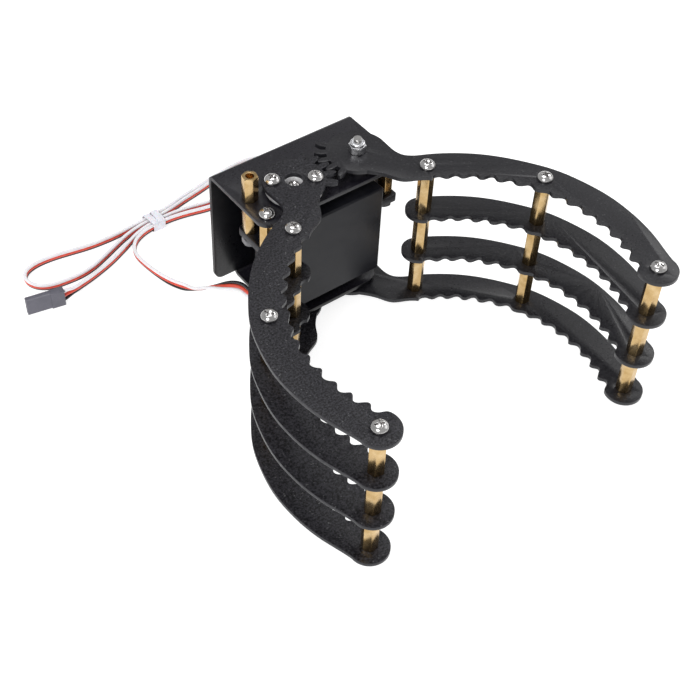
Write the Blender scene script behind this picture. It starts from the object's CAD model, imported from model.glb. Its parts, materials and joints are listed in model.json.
import json
import math

import bmesh
import bpy
from mathutils import Matrix, Vector

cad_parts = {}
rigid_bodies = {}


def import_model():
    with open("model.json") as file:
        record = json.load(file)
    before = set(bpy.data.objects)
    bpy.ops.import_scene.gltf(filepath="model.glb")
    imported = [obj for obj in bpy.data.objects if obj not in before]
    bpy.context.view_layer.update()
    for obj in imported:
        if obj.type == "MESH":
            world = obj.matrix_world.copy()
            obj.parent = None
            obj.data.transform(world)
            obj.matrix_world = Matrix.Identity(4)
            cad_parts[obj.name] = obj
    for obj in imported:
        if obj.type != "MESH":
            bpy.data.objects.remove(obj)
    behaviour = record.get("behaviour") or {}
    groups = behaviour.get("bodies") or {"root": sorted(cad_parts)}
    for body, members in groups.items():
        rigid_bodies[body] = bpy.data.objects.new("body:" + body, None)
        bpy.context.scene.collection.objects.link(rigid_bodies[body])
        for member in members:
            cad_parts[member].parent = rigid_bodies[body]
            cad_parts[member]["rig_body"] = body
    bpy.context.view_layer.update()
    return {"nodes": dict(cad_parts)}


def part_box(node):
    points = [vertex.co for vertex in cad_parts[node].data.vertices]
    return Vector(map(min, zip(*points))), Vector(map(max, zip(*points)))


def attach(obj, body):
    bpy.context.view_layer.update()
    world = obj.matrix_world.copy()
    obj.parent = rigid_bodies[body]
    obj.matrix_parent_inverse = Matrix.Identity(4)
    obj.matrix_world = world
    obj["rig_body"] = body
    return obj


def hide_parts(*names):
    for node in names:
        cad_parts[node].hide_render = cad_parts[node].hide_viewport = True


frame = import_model()
nodes = frame["nodes"]
sc = bpy.context.scene
sc.view_settings.view_transform = "Standard"
sc.view_settings.look = "None"
sc.view_settings.exposure = 0.0
sc.view_settings.gamma = 1.0

MM = 0.001
DY, DZ = 42.8, 62.0          # the CAD drawing's own zero, in this frame


def P(x, y, z):
    return Vector((x * MM, (y + DY) * MM, (z + DZ) * MM))


# ------------------------------------------------------------------ camera
cam_data = bpy.data.cameras.new("camera")
cam_data.sensor_width = 36.0
cam_data.lens = 67.9489
cam_data.clip_start, cam_data.clip_end = 0.01, 20.0
cam = bpy.data.objects.new("camera", cam_data)
sc.collection.objects.link(cam)
right = Vector((0.7946053, -0.6057813, 0.0403912))
up = Vector((0.4237116, 0.6009716, 0.6777179))
back = Vector((-0.4348228, -0.5214040, 0.7342118))
m = Matrix.Identity(4)
for i in range(3):
    m[i][0], m[i][1], m[i][2] = right[i], up[i], back[i]
m[0][3], m[1][3], m[2][3] = -0.21752107, -0.23681432, 0.35219502
cam.matrix_world = m
sc.camera = cam


# ------------------------------------------------------------------ node helpers
class Mat:
    def __init__(self, name):
        self.m = bpy.data.materials.new(name)
        self.m.use_nodes = True
        self.t = self.m.node_tree
        self.t.nodes.clear()
        self.out = self.t.nodes.new("ShaderNodeOutputMaterial")
        self.b = self.t.nodes.new("ShaderNodeBsdfPrincipled")
        self.t.links.new(self.b.outputs[0], self.out.inputs[0])
        self.co = self.t.nodes.new("ShaderNodeTexCoord").outputs["Object"]

    def link(self, a, b):
        self.t.links.new(a, b)

    def set(self, **k):
        names = {"metallic": "Metallic", "rough": "Roughness", "color": "Base Color", "spec": "Specular IOR Level",
                 "ior": "IOR", "coat": "Coat Weight", "coat_rough": "Coat Roughness", "sss": "Subsurface Weight",
                 "sss_scale": "Subsurface Scale", "trans": "Transmission Weight"}
        for a, v in k.items():
            s = self.b.inputs[names[a]]
            s.default_value = (*v, 1.0) if a == "color" else v

    def stretch(self, sx, sy, sz):
        n = self.t.nodes.new("ShaderNodeMapping")
        n.inputs["Scale"].default_value = (sx, sy, sz)
        self.link(self.co, n.inputs["Vector"])
        return n.outputs[0]

    def noise(self, scale, detail=3.0, rough=0.55, vec=None, distortion=0.0):
        n = self.t.nodes.new("ShaderNodeTexNoise")
        n.inputs["Scale"].default_value = scale
        n.inputs["Detail"].default_value = detail
        n.inputs["Roughness"].default_value = rough
        n.inputs["Distortion"].default_value = distortion
        self.link(vec or self.co, n.inputs["Vector"])
        return n.outputs["Fac"]

    def voronoi(self, scale, vec=None):
        n = self.t.nodes.new("ShaderNodeTexVoronoi")
        n.inputs["Scale"].default_value = scale
        self.link(vec or self.co, n.inputs["Vector"])
        return n.outputs["Distance"]

    def remap(self, fac, a, b, lo, hi):
        n = self.t.nodes.new("ShaderNodeMapRange")
        n.inputs["From Min"].default_value = a
        n.inputs["From Max"].default_value = b
        n.inputs["To Min"].default_value = lo
        n.inputs["To Max"].default_value = hi
        self.link(fac, n.inputs["Value"])
        return n.outputs[0]

    def ramp(self, fac, stops):
        n = self.t.nodes.new("ShaderNodeValToRGB")
        e = n.color_ramp.elements
        while len(e) > 1:
            e.remove(e[-1])
        e[0].position, e[0].color = stops[0][0], (*stops[0][1], 1)
        for p, c in stops[1:]:
            x = e.new(p)
            x.color = (*c, 1)
        self.link(fac, n.inputs["Fac"])
        return n.outputs["Color"]

    def mix(self, fac, a, b):
        n = self.t.nodes.new("ShaderNodeMix")
        n.data_type = "RGBA"
        self.link(fac, n.inputs["Factor"])
        for v, s in ((a, n.inputs[6]), (b, n.inputs[7])):
            if isinstance(v, tuple):
                s.default_value = (*v, 1)
            else:
                self.link(v, s)
        return n.outputs[2]

    def math(self, op, a, b):
        n = self.t.nodes.new("ShaderNodeMath")
        n.operation = op
        for v, s in ((a, n.inputs[0]), (b, n.inputs[1])):
            if isinstance(v, (int, float)):
                s.default_value = v
            else:
                self.link(v, s)
        return n.outputs[0]

    def bump(self, height, dist, strength=1.0, under=None):
        n = self.t.nodes.new("ShaderNodeBump")
        n.inputs["Strength"].default_value = strength
        n.inputs["Distance"].default_value = dist
        self.link(height, n.inputs["Height"])
        if under is not None:
            self.link(under, n.inputs["Normal"])
        return n.outputs[0]

    def side(self):
        """1 where the surface stands upright, 0 where it lies flat, from the mesh's own normal."""
        g = self.t.nodes.new("ShaderNodeTexCoord").outputs["Normal"]
        s = self.t.nodes.new("ShaderNodeSeparateXYZ")
        self.link(g, s.inputs[0])
        a = self.math("ABSOLUTE", s.outputs["Z"], 0.0)
        return self.remap(a, 0.15, 0.9, 1.0, 0.0)

    def height(self):
        s = self.t.nodes.new("ShaderNodeSeparateXYZ")
        self.link(self.co, s.inputs[0])
        return s.outputs["Z"]


def black_coat(name, low, high, edge, rough=0.36, speck=0.55, glint=0.0, spec=0.4, deep=None):
    k = Mat(name)
    k.set(spec=spec)
    grain = k.noise(3600, 2.0, 0.6)
    mottle = k.noise(1500, 2.0, 0.55)
    broad = k.noise(60, 2.0, 0.5)
    tone = k.math("ADD", k.math("MULTIPLY", grain, 0.35), k.math("MULTIPLY", mottle, 0.65))
    body = k.ramp(tone, [(0.41, low), (0.50, tuple((a + b) / 2 for a, b in zip(low, high))), (0.59, high)])
    if glint:
        dot = k.remap(k.noise(1250, 1.0, 0.5), 0.70, 0.76, 0.0, 1.0)
        body = k.mix(dot, body, (glint, glint, glint * 1.05))
    if deep:
        edge = k.mix(k.remap(k.height(), deep[0], deep[1], 1.0, 0.0), edge, deep[2])
    k.link(k.mix(k.side(), body, edge), k.b.inputs["Base Color"])
    r = k.math("ADD", k.remap(mottle, 0.3, 0.7, rough - 0.06, rough + 0.06), k.remap(broad, 0.3, 0.7, -0.03, 0.03))
    k.link(r, k.b.inputs["Roughness"])
    n1 = k.bump(grain, 0.00003, speck)
    k.link(k.bump(mottle, 0.00004, speck * 0.55, n1), k.b.inputs["Normal"])
    return k.m


def hex_brass(name, bore=None):
    k = Mat(name)
    k.set(metallic=1.0)
    drawn = k.noise(1.0, 3.0, 0.6, k.stretch(9000, 9000, 160))
    tone = k.noise(260, 3.0, 0.55)
    col = k.ramp(tone, [(0.3, (0.44, 0.290, 0.120)), (0.55, (0.54, 0.38, 0.185)), (0.75, (0.62, 0.465, 0.26))])
    if bore:
        s = k.t.nodes.new("ShaderNodeSeparateXYZ")
        k.link(k.co, s.inputs[0])
        dx = k.math("SUBTRACT", s.outputs["X"], bore[0])
        dy = k.math("SUBTRACT", s.outputs["Y"], bore[1])
        rr = k.math("POWER", k.math("ADD", k.math("MULTIPLY", dx, dx), k.math("MULTIPLY", dy, dy)), 0.5)
        col = k.mix(k.remap(rr, 0.00135, 0.00150, 1.0, 0.0), col, (0.012, 0.009, 0.006))
    k.link(col, k.b.inputs["Base Color"])
    k.link(k.remap(drawn, 0.25, 0.75, 0.16, 0.26), k.b.inputs["Roughness"])
    k.link(k.bump(drawn, 0.000004, 0.25, k.bump(tone, 0.00002, 0.3)), k.b.inputs["Normal"])
    return k.m


def plated(name, base, lo, hi, metallic=1.0):
    k = Mat(name)
    k.set(metallic=metallic)
    cloud = k.noise(900, 4.0, 0.6)
    fine = k.noise(7000, 2.0, 0.5)
    col = k.ramp(cloud, [(0.25, tuple(c * 0.82 for c in base)), (0.5, base), (0.78, tuple(min(1, c * 1.12) for c in base))])
    k.link(col, k.b.inputs["Base Color"])
    k.link(k.remap(fine, 0.3, 0.7, lo, hi), k.b.inputs["Roughness"])
    k.link(k.bump(cloud, 0.00001, 0.5, k.bump(fine, 0.000004, 0.5)), k.b.inputs["Normal"])
    return k.m


def moulded(name, low, high, rough, grain_scale=3800, bump=0.4, dist=0.000014, spec=0.5, side_tone=None):
    k = Mat(name)
    k.set(spec=spec)
    grain = k.noise(grain_scale, 3.0, 0.6)
    cloud = k.noise(220, 3.0, 0.5)
    tone = k.math("ADD", k.math("MULTIPLY", grain, 0.4), k.math("MULTIPLY", cloud, 0.6))
    col = k.ramp(tone, [(0.35, low), (0.65, high)])
    if side_tone:
        col = k.mix(k.side(), col, side_tone)
    k.link(col, k.b.inputs["Base Color"])
    k.link(k.remap(cloud, 0.3, 0.7, rough - 0.05, rough + 0.06), k.b.inputs["Roughness"])
    k.link(k.bump(grain, dist, bump), k.b.inputs["Normal"])
    return k.m


def insulation(name, low, high, rough=0.34, sss=0.0):
    k = Mat(name)
    k.set(sss=sss, sss_scale=0.0006, spec=0.45)
    cloud = k.noise(380, 3.0, 0.55)
    fine = k.noise(2600, 2.0, 0.5)
    k.link(k.ramp(cloud, [(0.3, low), (0.7, high)]), k.b.inputs["Base Color"])
    k.link(k.remap(fine, 0.3, 0.7, rough - 0.05, rough + 0.08), k.b.inputs["Roughness"])
    k.link(k.bump(cloud, 0.00004, 0.35, k.bump(fine, 0.00001, 0.4)), k.b.inputs["Normal"])
    return k.m


M = {}
M["coat_left"] = black_coat("coat_left", (0.0012, 0.0011, 0.0020), (0.031, 0.030, 0.036), (0.017, 0.017, 0.021), 0.40, 0.95, 0.085, 0.26)
M["coat_right"] = black_coat("coat_right", (0.0070, 0.0066, 0.0086), (0.0165, 0.0160, 0.0195), (0.014, 0.014, 0.0170), 0.34, 0.35, 0.050, 0.38)
M["coat_bracket"] = black_coat("coat_bracket", (0.0066, 0.0060, 0.0090), (0.0112, 0.0102, 0.0150), (0.0150, 0.0150, 0.0185), 0.34, 0.25, 0.030,
                              deep=(0.0536, 0.0546, (0.0028, 0.0028, 0.0042)))
M["brass"] = hex_brass("brass")
lo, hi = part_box("tall_standoff")
M["brass_tall"] = hex_brass("brass_threaded", ((lo.x + hi.x) / 2, (lo.y + hi.y) / 2))
M["screw"] = plated("screw_steel", (0.60, 0.59, 0.585), 0.09, 0.20)
M["nut"] = plated("nut_steel", (0.74, 0.74, 0.76), 0.16, 0.30)
M["nut_ear"] = plated("nut_dark_steel", (0.17, 0.17, 0.18), 0.26, 0.42)
M["horn"] = plated("horn_metal", (0.72, 0.72, 0.73), 0.34, 0.50, metallic=0.45)
M["gear"] = plated("gear_metal", (0.62, 0.50, 0.30), 0.28, 0.42)
M["can"] = plated("motor_can", (0.50, 0.50, 0.52), 0.25, 0.40)
M["servo"] = moulded("servo_plastic", (0.0060, 0.0062, 0.0088), (0.0096, 0.0098, 0.0132), 0.38, bump=0.3, spec=0.24)
M["nylon"] = moulded("nylon", (0.55, 0.56, 0.58), (0.66, 0.67, 0.70), 0.45)
M["board"] = moulded("board", (0.01, 0.09, 0.03), (0.02, 0.14, 0.05), 0.35)
M["rubber"] = moulded("grommet_rubber", (0.012, 0.012, 0.012), (0.022, 0.022, 0.022), 0.6)
M["plug"] = moulded("plug_plastic", (0.085, 0.083, 0.106), (0.115, 0.112, 0.140), 0.42, bump=0.35)
M["white"] = insulation("lead_white", (0.76, 0.75, 0.78), (0.84, 0.83, 0.86), 0.36, 0.06)
M["red"] = insulation("lead_red", (0.62, 0.055, 0.030), (0.74, 0.085, 0.048), 0.32)
M["black"] = insulation("lead_black", (0.008, 0.007, 0.010), (0.016, 0.014, 0.018), 0.30)
M["tie"] = insulation("tie_plastic", (0.70, 0.70, 0.76), (0.82, 0.82, 0.88), 0.28, 0.10)


# ------------------------------------------------------------------ CAD nodes, their finish
def body_of(node):
    return nodes[node]["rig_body"]


def finished(node, mat, width=0.12, seg=2, angle=32.0, keep_flat=None, dissolve=True, smooth=30.0):
    """A copy of a CAD node's mesh with its corners broken as the real part's are, standing for the node."""
    src = nodes[node].data
    mesh = bpy.data.meshes.new(node + "_fin")
    bm = bmesh.new()
    bm.from_mesh(src)
    bmesh.ops.remove_doubles(bm, verts=bm.verts, dist=2e-6)
    if dissolve:
        bmesh.ops.dissolve_limit(bm, angle_limit=math.radians(0.6), verts=bm.verts, edges=bm.edges)
    if width:
        lim = math.radians(angle)
        edges = []
        for e in bm.edges:
            if len(e.link_faces) != 2:
                continue
            if e.calc_face_angle(0.0) < lim:
                continue
            if keep_flat and keep_flat(e):
                continue
            edges.append(e)
        bmesh.ops.bevel(bm, geom=edges, offset=width * MM, offset_type="OFFSET", segments=seg, profile=0.5,
                        affect="EDGES", clamp_overlap=True, miter_outer="ARC" if seg > 1 else "SHARP")
    bmesh.ops.recalc_face_normals(bm, faces=bm.faces)
    for f in bm.faces:
        f.smooth = True
    bm.to_mesh(mesh)
    bm.free()
    mesh.set_sharp_from_angle(angle=math.radians(smooth))
    mesh.materials.append(mat)
    o = bpy.data.objects.new(node + "_finished", mesh)
    sc.collection.objects.link(o)
    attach(o, body_of(node))
    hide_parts(node)
    return o


def dress(node, mat):
    o = nodes[node]
    o.data.materials.clear()
    o.data.materials.append(mat)


for side in ("left", "right"):
    for k in (1, 2, 3, 4):
        finished(f"{side}_jaw_plate_{k}", M["coat_" + side], 0.13, 2, 40.0)
    finished(f"{side}_jaw_standoffs", M["brass"], 0.10, 2, 28.0)
    finished(f"{side}_jaw_screws", M["screw"], 0.07, 2, 35.0)
finished("bracket", M["coat_bracket"], 0.16, 2, 40.0)
finished("bracket_screws", M["screw"], 0.07, 2, 35.0)
finished("horn_screws", M["screw"], 0.07, 2, 35.0)
finished("horn_centre_screw", M["screw"], 0.07, 2, 35.0)
finished("tall_standoff", M["brass_tall"], 0.14, 2, 28.0)
finished("ear_standoffs", M["brass"], 0.10, 2, 28.0)
finished("ear_nuts", M["nut_ear"], 0.08, 2, 28.0)
finished("top_pivot_bolt", M["screw"], 0.07, 2, 35.0)
finished("top_pivot_spacer", M["nut"], 0.12, 2, 35.0)
finished("top_pivot_nut", M["nut"], 0.10, 2, 28.0)
finished("top_pivot_nut_insert", M["nylon"], 0.08, 2, 35.0)
finished("bottom_pivot_bolts", M["screw"], 0.07, 2, 35.0)
finished("bottom_pivot_washers", M["nut"], 0.08, 2, 35.0)
finished("bottom_pivot_nuts", M["nut"], 0.08, 2, 28.0)
finished("horn", M["horn"], 0.10, 2, 35.0)
SEAMS = ((-43.0 + DZ) * MM, (-19.0 + DZ) * MM)
seam = lambda e: any(all(abs(v.co.z - s) < 1e-5 for v in e.verts) for s in SEAMS)
for n in ("servo_case_bottom", "servo_case_middle", "servo_case_top"):
    finished(n, M["servo"], 0.22, 2, 40.0, keep_flat=seam)
for n, mm_ in (("servo_case_screws", "screw"), ("servo_motor", "can"), ("servo_motor_shaft", "screw"),
               ("servo_gear_1", "gear"), ("servo_gear_2", "gear"), ("servo_gear_pins", "screw"),
               ("servo_output_gear", "gear"), ("servo_bearing", "nut"), ("servo_potentiometer", "servo"),
               ("servo_circuit_board", "board"), ("servo_lead_grommet", "rubber")):
    dress(n, M[mm_])

# ------------------------------------------------------------------ lead: one flat three-wire ribbon
D = 3.9
Z = -DZ + D / 2 + 0.1
TIE = 0.55
# from the servo down to the surface and round to the tie
ROUTE = [(-25.7, 0.0, -47.0), (-28.0, 0.0, -47.0), (-29.9, 1.2, -47.1), (-30.7, 4.0, -47.4), (-30.4, 8.0, -48.3), (-31.0, 12.2, -50.3), (-33.3, 17.0, -53.2),
         (-35.6, 22.0, -56.6), (-38.6, 26.5, Z + 0.5), (-41.4, 30.4, Z), (-44.4, 35.9, Z), (-46.3, 43.0, Z), (-47.4, 50.0, Z), (-47.4, 56.4, Z), (-44.4, 61.6, Z),
         (-38.6, 64.5, Z + 0.25), (-31.6, 65.0, Z + TIE), (-25.4, 65.2, Z + 0.3)]
# outer loop to the right, behind the bracket
ROUTE += [(-18.4, 64.4, Z), (-10.0, 62.2, Z), (0.0, 61.4, Z), (10.0, 62.0, Z), (19.0, 64.2, Z), (25.2, 68.6, Z), (26.8, 73.2, Z), (24.0, 77.3, Z),
          (17.6, 78.4, Z), (10.0, 78.0, Z), (1.6, 76.7, Z), (-7.0, 74.8, Z), (-15.5, 73.4, Z), (-23.5, 71.0, Z + 0.3), (-31.6, 69.9, Z + TIE)]
# loop to the left
ROUTE += [(-38.2, 69.6, Z + 0.25), (-44.6, 69.2, Z), (-51.5, 69.1, Z), (-59.0, 69.5, Z), (-66.5, 70.9, Z), (-74.0, 72.3, Z), (-81.2, 72.5, Z),
          (-86.6, 70.6, Z), (-88.4, 66.0, Z), (-86.2, 61.0, Z), (-81.4, 58.4, Z), (-76.0, 57.8, Z), (-70.2, 57.5, Z), (-64.2, 58.5, Z),
          (-57.6, 61.1, Z), (-51.3, 63.9, Z), (-45.4, 66.4, Z), (-38.8, 67.9, Z + 0.25), (-31.6, 68.3, Z + TIE)]
# inner loop to the right
ROUTE += [(-24.2, 69.3, Z + 0.3), (-15.8, 71.7, Z), (-7.4, 73.2, Z), (0.6, 75.1, Z), (6.6, 75.9, Z), (11.2, 76.0, Z), (15.0, 74.2, Z), (16.5, 70.7, Z),
          (14.8, 67.3, Z), (11.2, 65.8, Z),
          (5.6, 64.8, Z), (-0.6, 64.2, Z), (-8.6, 64.8, Z), (-16.6, 66.6, Z), (-24.2, 67.2, Z + 0.3), (-31.6, 66.6, Z + TIE)]
# out to the plug
ROUTE += [(-37.6, 65.9, Z + 0.25), (-43.0, 64.2, Z), (-49.4, 60.9, Z), (-57.0, 57.4, Z), (-65.4, 54.6, Z + 0.1), (-72.6, 52.4, Z + 0.7),
          (-77.1, 50.9, Z + 1.6), (-80.9, 50.46, Z + 1.85)]

cu = bpy.data.curves.new("lead_route", "CURVE")
cu.dimensions = "3D"
sp = cu.splines.new("NURBS")
sp.points.add(len(ROUTE) - 1)
for pt, c in zip(sp.points, ROUTE):
    pt.co = (*P(*c), 1.0)
sp.order_u = 3
sp.use_endpoint_u = True
sp.resolution_u = 10
tmp = bpy.data.objects.new("lead_route", cu)
sc.collection.objects.link(tmp)
bpy.context.view_layer.update()
line_mesh = bpy.data.meshes.new_from_object(tmp)
LINE = []
for v in line_mesh.vertices:
    if not LINE or (v.co - LINE[-1]).length > 1e-5:
        LINE.append(v.co.copy())
bpy.data.objects.remove(tmp)
run = [0.0]
for a, b in zip(LINE, LINE[1:]):
    run.append(run[-1] + (b - a).length)
LENGTH = run[-1]


def at_point(p):
    """Distance along the lead of the first place nearest to p, counted from the servo."""
    best = min(range(min(len(LINE), 200)), key=lambda i: (LINE[i] - p).length)
    return run[best]


def ease(x):
    x = max(0.0, min(1.0, x))
    return x * x * (3 - 2 * x)


def table(s, rows):
    if s <= rows[0][0]:
        return rows[0][1]
    for (s0, v0), (s1, v1) in zip(rows, rows[1:]):
        if s <= s1:
            return v0 + (v1 - v0) * ease((s - s0) / (s1 - s0))
    return rows[-1][1]


T0 = at_point(P(-30.0, 8.0, -48.4))
T1 = at_point(P(-38.4, 26.2, -59.0))
T2 = at_point(P(-42.0, 31.6, Z))
FRONT = Vector((-0.64, -0.768, 0.0))
LEAN, TUCK = 8.0, 0.50 * MM
ROLL = [(0.0, -82.0), (T0, -58.0), (T1, 46.0), (T2, 90.0)]


def ribbon():
    seg, r = 14, 0.655 * MM
    verts, faces, mats = [], [], []
    frames = []
    last = None
    for i, p in enumerate(LINE):
        a = LINE[max(0, i - 1)]
        b = LINE[min(len(LINE) - 1, i + 1)]
        t = (b - a).normalized()
        left = Vector((0, 0, 1)).cross(t).normalized()
        upv = t.cross(left).normalized()
        th = math.radians(table(run[i], ROLL) - LEAN * ease((run[i] - T2) / 0.02) * left.dot(FRONT))
        w = left * math.cos(th) + upv * math.sin(th)
        frames.append((p, t, w, t.cross(w).normalized()))
    for k, mi in ((1, 0), (0, 1), (-1, 2)):
        base = len(verts)
        for i, (p, t, w, n) in enumerate(frames):
            rest = LENGTH - run[i]
            gap = 1.27 * MM + (2.30 - 1.27) * MM * (1 - ease(rest / (5.0 * MM)))
            c = p + w * (k * gap)
            if k < 0:
                c = c - n * (n.dot(FRONT) * TUCK * ease((run[i] - T2) / 0.02) * ease(rest / 0.01))
            for j in range(seg):
                a = 2 * math.pi * j / seg
                verts.append(c + w * (r * math.cos(a)) + n * (r * math.sin(a)))
        for i in range(len(frames) - 1):
            for j in range(seg):
                j2 = (j + 1) % seg
                q = (base + i * seg + j, base + i * seg + j2, base + (i + 1) * seg + j2, base + (i + 1) * seg + j)
                faces.append(q)
                mats.append(mi)
        for i, flip in ((0, False), (len(frames) - 1, True)):
            loop = [base + i * seg + j for j in range(seg)]
            faces.append(tuple(loop if flip else loop[::-1]))
            mats.append(mi)
    me = bpy.data.meshes.new("lead_ribbon")
    me.from_pydata([tuple(v) for v in verts], [], faces)
    me.validate()
    for n in ("white", "red", "black"):
        me.materials.append(M[n])
    for f, mi in zip(me.polygons, mats):
        f.material_index = mi
        f.use_smooth = True
    me.update()
    me.set_sharp_from_angle(angle=math.radians(60))
    o = bpy.data.objects.new("lead_ribbon", me)
    sc.collection.objects.link(o)
    return o


lead = ribbon()
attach(lead, "frame")
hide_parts("lead_run", "lead_hank", "lead_end")


# ------------------------------------------------------------------ twist tie
def strip_loop(name, x0, skew, width, grow, turns_y, tail=None):
    """A flat plastic strip wound once round the bundle, closed on itself."""
    y0, y1 = turns_y
    zb, zt = -DZ + 0.55, -DZ + 4.95 + grow
    prof = []
    r = 1.15
    def arc(cy, cz, a0, a1, n=7):
        for i in range(n + 1):
            a = math.radians(a0 + (a1 - a0) * i / n)
            prof.append((cy + r * math.cos(a), cz + r * math.sin(a)))
    y0 -= grow
    y1 += grow
    arc(y1 - r, zt - r, 0, 90)
    for i in range(1, 6):
        f = i / 6
        y = (y1 - r) + ((y0 + r) - (y1 - r)) * f
        prof.append((y, zt + 0.16 * math.sin(f * math.pi * 2.5 + x0)))
    arc(y0 + r, zt - r, 90, 180)
    prof.append((y0, (zt + zb) / 2))
    arc(y0 + r, zb + r, 180, 270)
    prof.append(((y0 + y1) / 2, zb))
    arc(y1 - r, zb + r, 270, 360)
    prof.append((y1, (zt + zb) / 2))
    n = len(prof)
    cy, cz = sum(p[0] for p in prof) / n, sum(p[1] for p in prof) / n
    bm = bmesh.new()
    th = 0.34
    cols = 6
    rings = []
    for i, (y, z) in enumerate(prof):
        yn, zn = prof[(i + 1) % n]
        yp, zp = prof[i - 1]
        ty, tz = yn - yp, zn - zp
        ln = math.hypot(ty, tz) or 1
        ny, nz = tz / ln, -ty / ln
        if ny * (y - cy) + nz * (z - cz) < 0:
            ny, nz = -ny, -nz
        row = []
        shift = skew * (y - cy)
        for j in range(cols + 1):
            f = j / cols
            x = x0 - width / 2 + width * f + shift
            crown = 0.10 * math.sin(math.pi * f)
            row.append(bm.verts.new(P(x, y + ny * (th + crown), z + nz * (th + crown))))
        for j in range(cols, -1, -1):
            f = j / cols
            x = x0 - width / 2 + width * f + shift
            row.append(bm.verts.new(P(x, y, z)))
        rings.append(row)
    for i in range(n):
        a, b = rings[i], rings[(i + 1) % n]
        for j in range(len(a)):
            j2 = (j + 1) % len(a)
            bm.faces.new((a[j], a[j2], b[j2], b[j]))
    bmesh.ops.recalc_face_normals(bm, faces=bm.faces)
    for f in bm.faces:
        f.smooth = True
    me = bpy.data.meshes.new(name)
    bm.to_mesh(me)
    bm.free()
    me.set_sharp_from_angle(angle=math.radians(50))
    me.materials.append(M["tie"])
    o = bpy.data.objects.new(name, me)
    sc.collection.objects.link(o)
    return o


BUNDLE = (64.0, 70.85)
tie_a = strip_loop("lead_tie_wrap_a", -33.3, -0.14, 2.5, 0.0, BUNDLE)
tie_b = strip_loop("lead_tie_wrap_b", -30.3, 0.04, 2.9, 0.12, BUNDLE)
for o in (tie_a, tie_b):
    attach(o, "frame")
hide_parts("lead_tie")

plug = finished("lead_plug", M["plug"], 0.12, 2, 40.0)

print("LEAD LENGTH", round(LENGTH * 1000, 1))


# ------------------------------------------------------------------ bolt thread above the lock nut
def thread(name, x, y, z0, z1, root, crest, pitch, body, mat, cap=True):
    bm = bmesh.new()
    nt, nz = 40, max(8, int((z1 - z0) / pitch * 8))
    rows = []
    for i in range(nz + 1):
        z = z0 + (z1 - z0) * i / nz
        row = []
        for j in range(nt):
            a = 2 * math.pi * j / nt
            ph = ((z - z0) / pitch - j / nt) % 1.0
            h = 1 - abs(2 * ph - 1)
            r = root + (crest - root) * h
            if z1 - z < 0.25:
                r = min(r, root + (crest - root) * (z1 - z) / 0.25)
            row.append(bm.verts.new(P(x + r * math.cos(a), y + r * math.sin(a), z)))
        rows.append(row)
    for a, b in zip(rows, rows[1:]):
        for j in range(nt):
            j2 = (j + 1) % nt
            bm.faces.new((a[j], a[j2], b[j2], b[j]))
    if cap:
        bm.faces.new(rows[-1])
        bm.faces.new(rows[0][::-1])
    bmesh.ops.recalc_face_normals(bm, faces=bm.faces)
    me = bpy.data.meshes.new(name)
    bm.to_mesh(me)
    bm.free()
    for f in me.polygons:
        f.use_smooth = True
    me.set_sharp_from_angle(angle=math.radians(50))
    me.materials.append(mat)
    o = bpy.data.objects.new(name, me)
    sc.collection.objects.link(o)
    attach(o, body)
    return o


lo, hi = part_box("top_pivot_bolt")
BODY_BOLT = body_of("top_pivot_bolt")
thread("top_pivot_bolt_thread", 13.5, 0.0, 3.95, hi.z * 1000 - DZ + 0.02, 1.40, 1.56, 0.5, BODY_BOLT, M["screw"])

# ------------------------------------------------------------------ floor, light
def floor():
    me = bpy.data.meshes.new("floor")
    s = 3.0
    me.from_pydata([(-s, -s, 0), (s, -s, 0), (s, s, 0), (-s, s, 0)], [], [(0, 1, 2, 3)])
    o = bpy.data.objects.new("floor", me)
    sc.collection.objects.link(o)
    k = Mat("floor_paper")
    k.set(rough=0.9, spec=0.1)
    n = k.noise(40, 2.0)
    k.link(k.ramp(n, [(0.3, (0.50, 0.50, 0.50)), (0.7, (0.53, 0.53, 0.53))]), k.b.inputs["Base Color"])
    k.b.inputs["Emission Color"].default_value = (1.0, 1.0, 1.0, 1.0)
    k.b.inputs["Emission Strength"].default_value = 0.80
    me.materials.append(k.m)


floor()
world = bpy.data.worlds.new("studio")
sc.world = world
world.use_nodes = True
bg = world.node_tree.nodes["Background"]
bg.inputs[0].default_value = (1.0, 1.0, 1.0, 1.0)
bg.inputs[1].default_value = 0.46


def area(name, loc, target, size, power, size_y=None):
    d = bpy.data.lights.new(name, "AREA")
    d.energy = power
    d.size = size
    if size_y:
        d.shape = "RECTANGLE"
        d.size_y = size_y
    o = bpy.data.objects.new(name, d)
    o.location = loc
    o.rotation_euler = (Vector(target) - Vector(loc)).to_track_quat("-Z", "Y").to_euler()
    sc.collection.objects.link(o)
    return o


area("key", (-0.62, -0.34, 0.70), (0, 0, 0.03), 0.34, 5.0)
area("fill", (0.75, -0.35, 0.55), (0, 0, 0.03), 0.6, 1.0)
area("side", (0.86, 0.22, 0.75), (0.08, -0.07, 0.03), 0.34, 1.9)
area("top", (0.05, 0.25, 0.95), (0, 0, 0.0), 0.5, 2.6)
